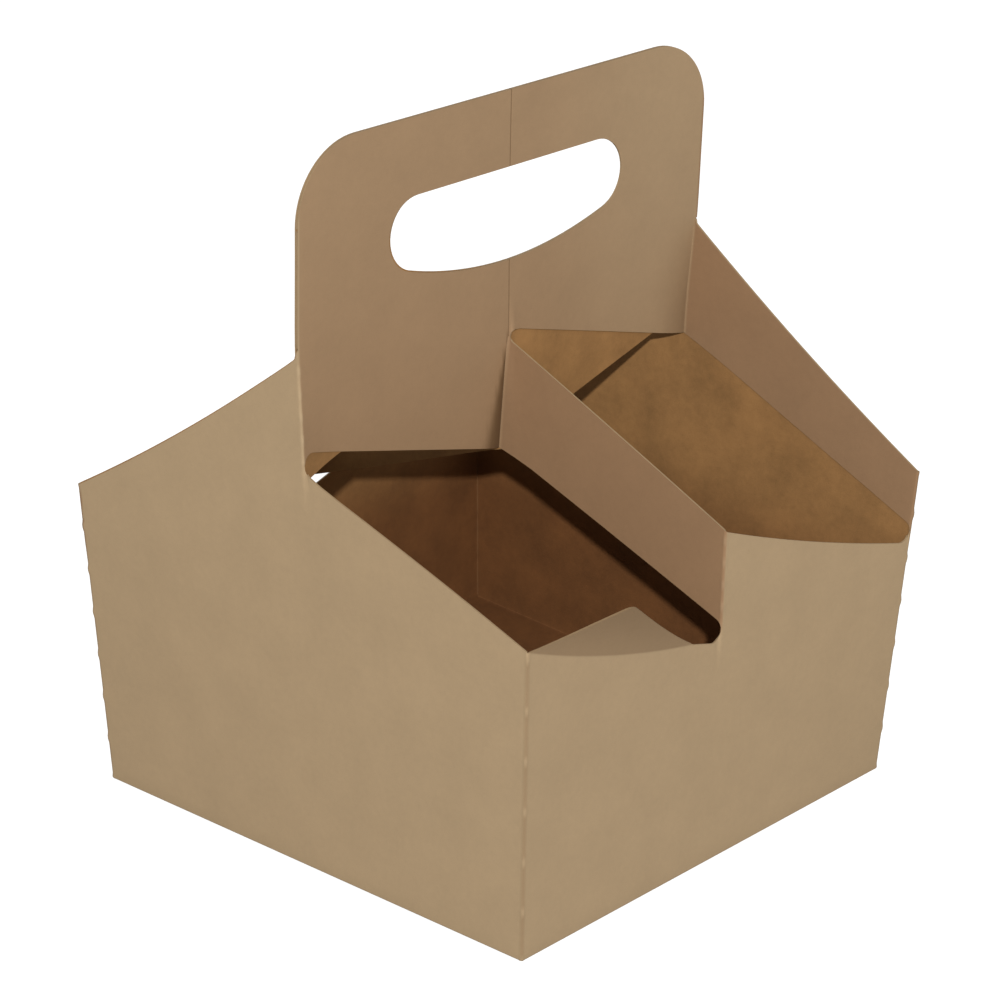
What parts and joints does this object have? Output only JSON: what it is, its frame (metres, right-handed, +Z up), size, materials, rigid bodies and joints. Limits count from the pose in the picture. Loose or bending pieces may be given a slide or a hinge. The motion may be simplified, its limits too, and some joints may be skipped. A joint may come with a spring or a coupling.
{
  "type": "cup carrier box",
  "caption": "Folded kraft board carrier box with a two-ply centre handle, cross straps between the cups, sloping end walls and a locked floor.",
  "frame": {"origin": "centre of the underside of the floor", "axes": "+Z up, +X along the handle, +Y from the front wall to the back wall"},
  "size_m": [0.186, 0.186, 0.242],
  "materials": {
    "kraft_board": "smooth uncoated kraft board, tan outside and golden brown inside"
  },
  "bodies": {
    "root": {"cup_carrier": "kraft_board"}
  },
  "joints": []
}
